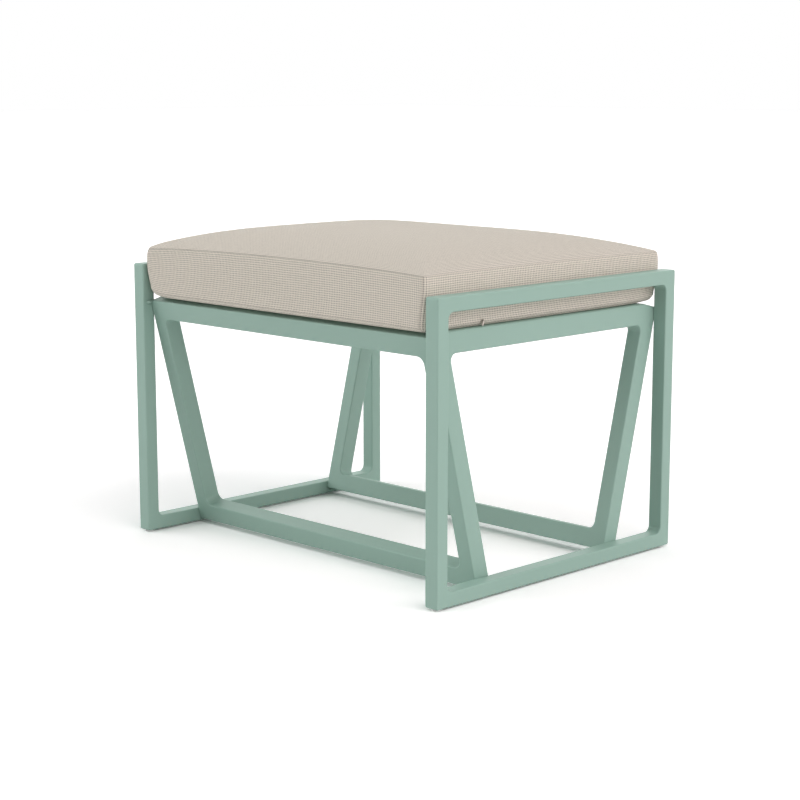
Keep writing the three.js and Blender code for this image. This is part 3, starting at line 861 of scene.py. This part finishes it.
def cushion_point(a, b, height, panel):
    """Where a point of the flat panels sits: a and b run from -1 to 1 across the cushion."""
    inset, radius = band_at(height)
    half_x, half_y = CUSHION_HALF_X - inset, CUSHION_HALF_Y - inset
    corner = math.hypot((1 - abs(a)) * CUSHION_HALF_X, (1 - abs(b)) * CUSHION_HALF_Y)
    # The corner at the right back is the softest, as on a cushion that has been lifted by it
    soft = 1.0 + RIGHT_BACK_SOFTNESS * (a > 0) * (b > 0)
    x, y = with_round_corner(a * half_x, b * half_y, half_x, half_y, radius * soft)
    lift = (FRONT_LIFT if b < 0 else BACK_LIFT) * (1 - a * a) * abs(b) ** LIFT_POWER
    lift += (LEFT_LIFT if a < 0 else RIGHT_LIFT) * (1 - b * b) * abs(a) ** LIFT_POWER
    # The left corners are drawn up most, and the one at the right front lies flat
    right_draw = RIGHT_BACK_DRAW if b > 0 else RIGHT_FRONT_DRAW
    drawn_up = fading(LEFT_DRAW if a < 0 else right_draw, corner)
    low_seam = BAND_LOW + DRAWN_SEAM * drawn_up
    puff, puff_reach = EDGE_PUFF, EDGE_PUFF_REACH
    if a < 0 and b < 0:
        lift -= fading(LEFT_FRONT_DROP, corner)
        puff += fading(LEFT_FRONT_PUFF, corner)
        puff_reach -= fading(LEFT_FRONT_STEEPNESS, corner)
    gap_x, gap_y = (1 - abs(a)) * half_x, (1 - abs(b)) * half_y
    gap = min(gap_x, gap_y)
    if panel == "top":
        swell = 1 - abs(a) ** CROWN_POWER
        swell *= 1 - abs(b) ** (CROWN_POWER if b < 0 else BACK_CROWN_POWER)
        z = BAND_TOP + lift + CROWN * swell + puff * (1 - math.exp(-gap / puff_reach))
    elif panel == "low":
        near_seam = math.exp(-gap / LOW_SEAM_REACH)
        rest = max(0.0, DRAWN_PANEL * drawn_up)
        z = rest * (1 - near_seam) + low_seam * near_seam
        # The panel is drawn in under its seam, so that it turns up to the seam in a round
        tuck = fading(LOW_TUCK, gap) * (1 - math.exp(-((gap / LOW_TUCK_START) ** 2)))
        if gap_x <= gap:
            x -= math.copysign(tuck, x)
        if gap_y <= gap:
            y -= math.copysign(tuck, y)
    else:
        share = (height - BAND_LOW) / (BAND_TOP - BAND_LOW)
        z = low_seam + (BAND_TOP + lift - low_seam) * share
    return Vector((x, y, CUSHION_BASE + z))


lines_x = seam_steps(1.0, [gap / CUSHION_HALF_X for gap in SEAM_GAPS], STEP_X_SHARE)
lines_y = seam_steps(1.0, [gap / CUSHION_HALF_Y for gap in SEAM_GAPS], STEP_Y_SHARE)
middle_height = (BAND_TOP + BAND_LOW) / 2
band_lines = seam_steps((BAND_TOP - BAND_LOW) / 2, BAND_SEAM_GAPS, BAND_STEP)
lines_z = [middle_height + line for line in band_lines]
last_x, last_y, last_z = len(lines_x) - 1, len(lines_y) - 1, len(lines_z) - 1

cover_mesh = bpy.data.meshes.new("cover")
cover_shape = bmesh.new()
weave_map = cover_shape.loops.layers.uv.new("Weave")
seam_layer = cover_shape.verts.layers.float.new("seam")
lattice = {}


def lattice_vert(i, j, k, panel):
    if (i, j, k) not in lattice:
        place = cushion_point(lines_x[i], lines_y[j], lines_z[k], panel)
        vert = cover_shape.verts.new(place)
        sides = (i in (0, last_x)) + (j in (0, last_y)) + (k in (0, last_z))
        vert[seam_layer] = 1.0 if sides > 1 else 0.0
        lattice[i, j, k] = vert
    return lattice[i, j, k]


def add_panel(panel, columns, rows, index_of, flat_of, place_on_map):
    for column in range(columns):
        for row in range(rows):
            corners = ((column, row), (column + 1, row), (column + 1, row + 1), (column, row + 1))
            keys = [index_of(*corner) for corner in corners]
            face = cover_shape.faces.new([lattice_vert(*key, panel) for key in keys])
            face.smooth = True
            for loop, key in zip(face.loops, keys):
                across, up = flat_of(*key)
                loop[weave_map].uv = (across + place_on_map[0], up + place_on_map[1])


flat_x = [line * CUSHION_HALF_X for line in lines_x]
flat_y = [line * CUSHION_HALF_Y for line in lines_y]
add_panel(
    "top",
    last_x,
    last_y,
    lambda i, j: (i, j, last_z),
    lambda i, j, k: (flat_x[i], flat_y[j]),
    (0, 0),
)
add_panel(
    "low",
    last_y,
    last_x,
    lambda j, i: (i, j, 0),
    lambda i, j, k: (flat_x[i], -flat_y[j]),
    (MAP_ASIDE, 0),
)
for end, j in ((1, 0), (-1, last_y)):
    add_panel(
        "band",
        last_x,
        last_z,
        lambda i, k, end=end, j=j: (i if end > 0 else last_x - i, j, k),
        lambda i, j, k, end=end: (end * flat_x[i], lines_z[k]),
        (0, MAP_ABOVE + MAP_STEP * end),
    )
for end, i in ((1, last_x), (-1, 0)):
    add_panel(
        "band",
        last_y,
        last_z,
        lambda j, k, end=end, i=i: (i, j if end > 0 else last_y - j, k),
        lambda i, j, k, end=end: (end * flat_y[j], lines_z[k]),
        (MAP_ASIDE, MAP_ABOVE + MAP_STEP * end),
    )
cover_shape.to_mesh(cover_mesh)
cover_shape.free()
cover = bpy.data.objects.new("cushion_cover_sewn", cover_mesh)
bpy.context.scene.collection.objects.link(cover)

# The filling swells the panels between their seams, which hold their length
SWELL_CAP = 0.0045
SIDE_CAP = 0.0014
CLOTH_FRAMES = 20

start = [vert.co.copy() for vert in cover_mesh.vertices]
on_seam = [item.value > 0.5 for item in cover_mesh.attributes["seam"].data]
held = cover.vertex_groups.new(name="held")
held.add([index for index, seam in enumerate(on_seam) if seam], 1.0, "REPLACE")
cloth = cover.modifiers.new("Filling", "CLOTH")
cloth.settings.quality = 5
cloth.settings.mass = 0.3
cloth.settings.tension_stiffness = 15
cloth.settings.compression_stiffness = 15
cloth.settings.shear_stiffness = 5
cloth.settings.bending_stiffness = 0.5
cloth.settings.use_pressure = True
cloth.settings.uniform_pressure_force = 4
cloth.settings.effector_weights.gravity = 0
cloth.settings.vertex_group_mass = "held"
cloth.collision_settings.use_collision = False
cloth.point_cache.frame_start = 1
cloth.point_cache.frame_end = CLOTH_FRAMES
for step in range(1, CLOTH_FRAMES + 1):
    bpy.context.scene.frame_set(step)
swollen = cover.evaluated_get(bpy.context.evaluated_depsgraph_get()).to_mesh()
moved = [vert.co.copy() for vert in swollen.vertices]
cover.evaluated_get(bpy.context.evaluated_depsgraph_get()).to_mesh_clear()
cover.modifiers.clear()
cover.vertex_groups.clear()
bpy.context.scene.frame_set(1)
for vert, before, after in zip(cover_mesh.vertices, start, moved):
    move = after - before
    far = move.length
    if far > 0:
        move *= SWELL_CAP * math.tanh(far / SWELL_CAP) / far
    move.x = SIDE_CAP * math.tanh(move.x / SIDE_CAP)
    move.y = SIDE_CAP * math.tanh(move.y / SIDE_CAP)
    # What rests on the deck stays where the filling presses it
    move *= min(1.0, (before.z - CUSHION_BASE) / BAND_LOW) ** 2
    place = before + move
    place.z = max(place.z, min(before.z, CUSHION_BASE))
    vert.co = place

# Seams: the stitches draw each seam a little in, and the fabric beside it puckers
cover_mesh.update()
normals = [vert.normal.copy() for vert in cover_mesh.vertices]
for index, vert in enumerate(cover_mesh.vertices):
    if on_seam[index]:
        pucker = noise.noise(start[index] * PUCKER_SCALE)
        vert.co -= normals[index] * SEAM_SINK * (1 + PUCKER_SHARE * pucker)
filling = copy_of(cover, "filling")
subdivide = cover.modifiers.new("Smooth cloth", "SUBSURF")
subdivide.levels = 1
subdivide.render_levels = 1
finish_modifiers(cover)

# The fabric is a plain weave of thick beige yarn. The colour is darkened in the gaps between the
# threads and along the seams, as painted shade
COLUMN_PITCH = 0.00335
ROW_PITCH = 0.00292
WAVER = 0.5
BASE_TONE = 1.04
# How much the colour is darkened along the seams, as painted shade
SEAM_PAINTED_SHADE = 0.19
YARN_CHANGE = 0.18
FIBRE_CHANGE = 0.12
FIBRE_HEIGHT = 0.15

weave, given, results = new_group(
    "Outdoor weave",
    (
        VECTOR,
        ("Color", "NodeSocketColor", (0.5, 0.5, 0.5, 1)),
        ("Seam", "NodeSocketFloat", 0.0),
        ("Columns", "NodeSocketFloat", 1 / COLUMN_PITCH),
        ("Rows", "NodeSocketFloat", 1 / ROW_PITCH),
        ("Gap painted shade", "NodeSocketFloat", 0.3),
    ),
    SURFACE,
)
# The threads waver a little, as woven ones do
waver = noise_on(weave, given["Vector"], scale=45.0, detail=2.0, output="Color")
waver = wire(weave, "ShaderNodeSeparateColor", inputs={"Color": waver}).outputs
along = wire(weave, "ShaderNodeSeparateXYZ", inputs={"Vector": given["Vector"]}).outputs
column = maths(weave, "MULTIPLY", along["X"], given["Columns"])
row = maths(weave, "MULTIPLY", along["Y"], given["Rows"])
column = maths(weave, "MULTIPLY_ADD", waver["Red"], WAVER, column)
row = maths(weave, "MULTIPLY_ADD", waver["Green"], WAVER, row)
wave_u = maths(weave, "SINE", maths(weave, "MULTIPLY", column, math.pi))
wave_v = maths(weave, "SINE", maths(weave, "MULTIPLY", row, math.pi))
both_waves = maths(weave, "MULTIPLY", wave_u, wave_v)
size_u = maths(weave, "ABSOLUTE", wave_u)
size_v = maths(weave, "ABSOLUTE", wave_v)
warp = maths(weave, "MULTIPLY", maths(weave, "ADD", size_u, both_waves), 0.5)
weft = maths(weave, "MULTIPLY", maths(weave, "SUBTRACT", size_v, both_waves), 0.5)
thread = maths(weave, "MAXIMUM", warp, weft)
# Painted shade: the gaps between the threads are darkened in the colour
gap = spread(weave, thread, low=1.0, high=0.0, start=0.05, end=0.55)
fibre = noise_on(weave, given["Vector"], scale=2600.0, detail=2.0)
yarn = noise_on(weave, given["Vector"], scale=160.0, detail=3.0)
gap_painted_shade = maths(weave, "MULTIPLY", gap, given["Gap painted shade"])
# Painted shade: the colour darkens along the seams, where the cloth dips in
seam_painted_shade = maths(weave, "MULTIPLY", maths(weave, "POWER", given["Seam"], 2.0), SEAM_PAINTED_SHADE)
tone = maths(weave, "SUBTRACT", BASE_TONE, gap_painted_shade)
tone = maths(weave, "SUBTRACT", tone, seam_painted_shade)
tone = maths(weave, "MULTIPLY_ADD", maths(weave, "SUBTRACT", yarn, 0.5), YARN_CHANGE, tone)
tone = maths(weave, "MULTIPLY_ADD", maths(weave, "SUBTRACT", fibre, 0.5), FIBRE_CHANGE, tone)
put_out(
    weave,
    results,
    Color=toned(weave, given["Color"], tone),
    Roughness=spread(weave, fibre, low=0.82, high=0.95),
    Height=maths(weave, "MULTIPLY_ADD", fibre, FIBRE_HEIGHT, thread),
)

# The gaps between the threads are darkened strongly in the colour, as painted shade
cover_fabric, shader, threads = finish_from(
    "Pale beige outdoor weave",
    weave,
    {
        "Color": (0.688, 0.646, 0.560, 1),
        "Columns": 1 / COLUMN_PITCH,
        "Rows": 1 / ROW_PITCH,
        "Gap painted shade": 0.92,
    },
    bump_strength=0.85,
    bump_depth=0.0006,
    uv_map="Weave",
)
# The seam mask darkens the colour along the seams, as painted shade
sewn = wire(cover_fabric.node_tree, "ShaderNodeAttribute", attribute_name="seam")
cover_fabric.node_tree.links.new(sewn.outputs["Fac"], threads.inputs["Seam"])
shader.inputs["Specular IOR Level"].default_value = 0.25
shader.inputs["Sheen Weight"].default_value = 0.05
shader.inputs["Sheen Roughness"].default_value = 0.5
cover.data.materials.append(cover_fabric)
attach(cover, "cushion")
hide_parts("cushion_cover")


# Filling: a block of polyurethane foam in a wrap of polyester fibre, which gives the cover its
# crown. The cover hides both. The wrap lies right under the cloth, and the foam inside the wrap.
WRAP_GAP = 0.0035
FOAM_GAP = 0.0150
FILLING_MIDDLE = 0.053
# The pores are darkened in the colour as painted shade, and the tufts of fibre are paler
PALEST = 1.1
PORE_PAINTED_SHADE = -0.35
TUFT_CHANGE = 0.2

cells, given, results = new_group(
    "Filling cells",
    (
        VECTOR,
        ("Color", "NodeSocketColor", (0.8, 0.8, 0.8, 1)),
        ("Cell size", "NodeSocketFloat", 700.0),
    ),
    (("Color", "NodeSocketColor"), ("Height", "NodeSocketFloat")),
)
pores = wire(
    cells,
    "ShaderNodeTexVoronoi",
    inputs={"Vector": given["Vector"], "Scale": given["Cell size"]},
).outputs["Distance"]
tufts = noise_on(cells, given["Vector"], scale=60.0, detail=6.0)
# Painted shade in the pores
tone = maths(cells, "MULTIPLY_ADD", pores, PORE_PAINTED_SHADE, PALEST)
tone = maths(cells, "MULTIPLY_ADD", tufts, TUFT_CHANGE, tone)
tone = maths(cells, "SUBTRACT", tone, TUFT_CHANGE / 2)
put_out(
    cells,
    results,
    Color=toned(cells, given["Color"], tone),
    Height=maths(cells, "ADD", pores, tufts),
)

for node, gap, color, cell_size, slot in (
    ("cushion_fibre_wrap", WRAP_GAP, (0.78, 0.78, 0.76, 1), 300.0, "fibre_wrap"),
    ("cushion_foam_core", FOAM_GAP, (0.72, 0.64, 0.42, 1), 900.0, "foam"),
):
    stuff, shader, _ = finish_from(
        slot.replace("_", " ").capitalize(),
        cells,
        {"Color": color, "Cell size": cell_size},
        bump_strength=0.6,
        bump_depth=0.001,
    )
    shader.inputs["Roughness"].default_value = 0.95
    layer = copy_of(filling, node + "_layer")
    layer.scale = [1 - gap / half for half in (CUSHION_HALF_X, CUSHION_HALF_Y, FILLING_MIDDLE)]
    layer.location.z = (CUSHION_BASE + FILLING_MIDDLE) * (gap / FILLING_MIDDLE)
    apply_place(layer)
    layer.data.materials.append(stuff)
    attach(layer, "cushion")
    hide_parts(node)
bpy.data.objects.remove(filling)


# Zip: a concealed coil zip behind the lower seam of the right end. Its two tapes are sewn to
# the cover and meet over the coil. The slider and its hanging pull are cast and painted beige.
ZIP_HALF_LENGTH = 0.150
ZIP_LOW = 0.3764
ZIP_HIGH = 0.3822
ZIP_MIDDLE = (ZIP_LOW + ZIP_HIGH) / 2
ZIP_DEPTH = 0.0005
ZIP_DEEP_X = 0.2940
COIL_PITCH = 0.0012
COIL_HALF_WIDTH = 0.0005
COIL_EDGE = 0.0009
COIL_RISE = 0.0002
TAPE_RIB_PITCH = 0.0007
TAPE_RIB_SHARE = 0.3
# How much lighter the raised teeth and ribs are painted, and how much darker the dips between
# them, as painted light and shade
RELIEF_PAINTED_LIGHT = 0.07
COIL_CHANGE = -0.12
TAPE_TURN_IN = 0.0024
TAPE_EDGE = 0.0001

coil, given, results = new_group(
    "Zip coil",
    (VECTOR, ("Color", "NodeSocketColor", (0.5, 0.5, 0.5, 1))),
    (("Color", "NodeSocketColor"), ("Height", "NodeSocketFloat")),
)
along = wire(coil, "ShaderNodeSeparateXYZ", inputs={"Vector": given["Vector"]}).outputs
turns = maths(coil, "SINE", maths(coil, "MULTIPLY", along["Y"], 2 * math.pi / COIL_PITCH))
off_middle = maths(coil, "ABSOLUTE", maths(coil, "SUBTRACT", along["Z"], ZIP_MIDDLE))
on_coil = spread(coil, off_middle, low=1.0, high=0.0, start=COIL_HALF_WIDTH, end=COIL_EDGE)
ribs = maths(coil, "SINE", maths(coil, "MULTIPLY", along["Z"], 2 * math.pi / TAPE_RIB_PITCH))
rib_height = maths(coil, "MULTIPLY", ribs, TAPE_RIB_SHARE)
teeth = maths(coil, "MULTIPLY", turns, on_coil)
tape_height = maths(coil, "ADD", teeth, rib_height)
# Painted light and shade: the raised teeth and ribs are lighter and the dips between them darker
tone = maths(coil, "MULTIPLY_ADD", tape_height, RELIEF_PAINTED_LIGHT, 1.0)
tone = maths(coil, "MULTIPLY_ADD", on_coil, COIL_CHANGE, tone)
put_out(coil, results, Color=toned(coil, given["Color"], tone), Height=tape_height)

tape_cloth, shader, _ = finish_from(
    "Beige zip tape",
    coil,
    {"Color": (0.50, 0.455, 0.39, 1)},
    bump_strength=0.5,
    bump_depth=0.0003,
)
shader.inputs["Roughness"].default_value = 0.85

tape = add_block(
    "zip_tape_strip",
    (ZIP_DEPTH * 2, ZIP_HALF_LENGTH * 2, ZIP_HIGH - ZIP_LOW),
    (ZIP_DEEP_X, 0, ZIP_MIDDLE),
)
bpy.ops.object.mode_set(mode="EDIT")
for offset in (-COIL_EDGE, -COIL_HALF_WIDTH, COIL_HALF_WIDTH, COIL_EDGE):
    pick_all()
    bpy.ops.mesh.bisect(plane_co=(0, 0, ZIP_MIDDLE + offset), plane_no=(0, 0, 1))
pick(
    "verts",
    lambda vert: vert.co.x > ZIP_DEEP_X
    and abs(vert.co.z - ZIP_MIDDLE) < COIL_HALF_WIDTH + NEAR,
)
bpy.ops.transform.translate(value=(COIL_RISE, 0, 0))
# The lower edge turns in with the cloth that it is sewn to
pick("verts", lambda vert: vert.co.z < ZIP_LOW + NEAR)
bpy.ops.transform.translate(value=(-TAPE_TURN_IN, 0, 0))
bpy.ops.object.mode_set(mode="OBJECT")
round_edges(tape, TAPE_EDGE, steps=2, angle=60)
tape.data.materials.append(tape_cloth)
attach(tape, "cushion")
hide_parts("cushion_zip_tape")

painted, shader, _ = finish_from(
    "Beige painted zinc",
    peel,
    {"Color": (0.56, 0.515, 0.45, 1), "Grain size": 2400.0, "Tone change": 0.1},
    bump_strength=0.2,
    bump_depth=0.00005,
)
shader.inputs["Metallic"].default_value = 0.05

# The slider's cap is a plate with round corners and a raised rib, and a pin for the pull
SLIDER_LOW = (0.29775, -0.1425, 0.3763)
SLIDER_HIGH = (0.29955, -0.1375, 0.3823)
SLIDER_CORNER = 0.0011
SLIDER_RIM = 0.0007
SLIDER_DIP = 0.0005
SLIDER_RIB_GAP = 0.0005
SLIDER_RIB = 0.0004
SLIDER_EDGE = 0.00012
PIN_PLACE = (0.3004, -0.140, 0.3808)
PIN_RADIUS = 0.00045
PIN_LENGTH = 0.0016

slider = add_block(
    "zip_slider_cap",
    Vector(SLIDER_HIGH) - Vector(SLIDER_LOW),
    (Vector(SLIDER_LOW) + Vector(SLIDER_HIGH)) / 2,
)
bpy.ops.object.mode_set(mode="EDIT")
pick("edges", lambda edge: abs(direction_of(edge).x) > ALONG)
bevel_picked(SLIDER_CORNER, steps=5)
pick("faces", lambda face: face.normal.x > ALONG)
bpy.ops.mesh.inset(thickness=SLIDER_RIM, depth=-SLIDER_DIP)
bpy.ops.mesh.inset(thickness=SLIDER_RIB_GAP, depth=0)
bpy.ops.mesh.extrude_region_move(TRANSFORM_OT_translate={"value": (SLIDER_RIB, 0, 0)})
bpy.ops.object.mode_set(mode="OBJECT")
select_only()
bpy.ops.mesh.primitive_cylinder_add(
    vertices=20,
    radius=PIN_RADIUS,
    depth=PIN_LENGTH,
    location=PIN_PLACE,
    rotation=(0, math.pi / 2, 0),
)
pin = bpy.context.object
apply_place(pin)
select_only(slider, pin)
bpy.ops.object.join()
round_edges(slider, SLIDER_EDGE, steps=2)
slider.data.materials.append(painted)
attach(slider, "zip_slider")
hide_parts("zip_slider")

# The pull is a flat drop with an eye, and hangs a little aslant
PULL_X = 0.30075
PULL_WIDTH = 0.0024
PULL_LENGTH = 0.0085
PULL_THICKNESS = 0.0010
PULL_ROUND_SHARE = 0.42
PULL_EDGE = 0.00015
PULL_SLANT = math.radians(22)
EYE_RADIUS = 0.00075

pull = add_block(
    "zip_pull_tab",
    (PULL_THICKNESS, PULL_WIDTH, PULL_LENGTH),
    (0, 0, PULL_WIDTH / 2 - PULL_LENGTH / 2),
)
bpy.ops.object.mode_set(mode="EDIT")
pick("edges", lambda edge: abs(direction_of(edge).x) > ALONG)
bevel_picked(PULL_WIDTH * PULL_ROUND_SHARE, steps=6)
bpy.ops.object.mode_set(mode="OBJECT")
select_only()
bpy.ops.mesh.primitive_cylinder_add(
    vertices=24, radius=EYE_RADIUS, depth=PULL_THICKNESS * 3, rotation=(0, math.pi / 2, 0)
)
eye = bpy.context.object
apply_place(eye)
punch = pull.modifiers.new("Eye", "BOOLEAN")
punch.operation = "DIFFERENCE"
punch.solver = "EXACT"
punch.object = eye
finish_modifiers(pull)
bpy.data.objects.remove(eye)
round_edges(pull, PULL_EDGE, steps=2)
pull.rotation_euler.x = -PULL_SLANT
pull.location = (PULL_X, PIN_PLACE[1], PIN_PLACE[2])
apply_place(pull)
pull.data.materials.append(painted)
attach(pull, "zip_pull")
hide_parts("zip_pull")
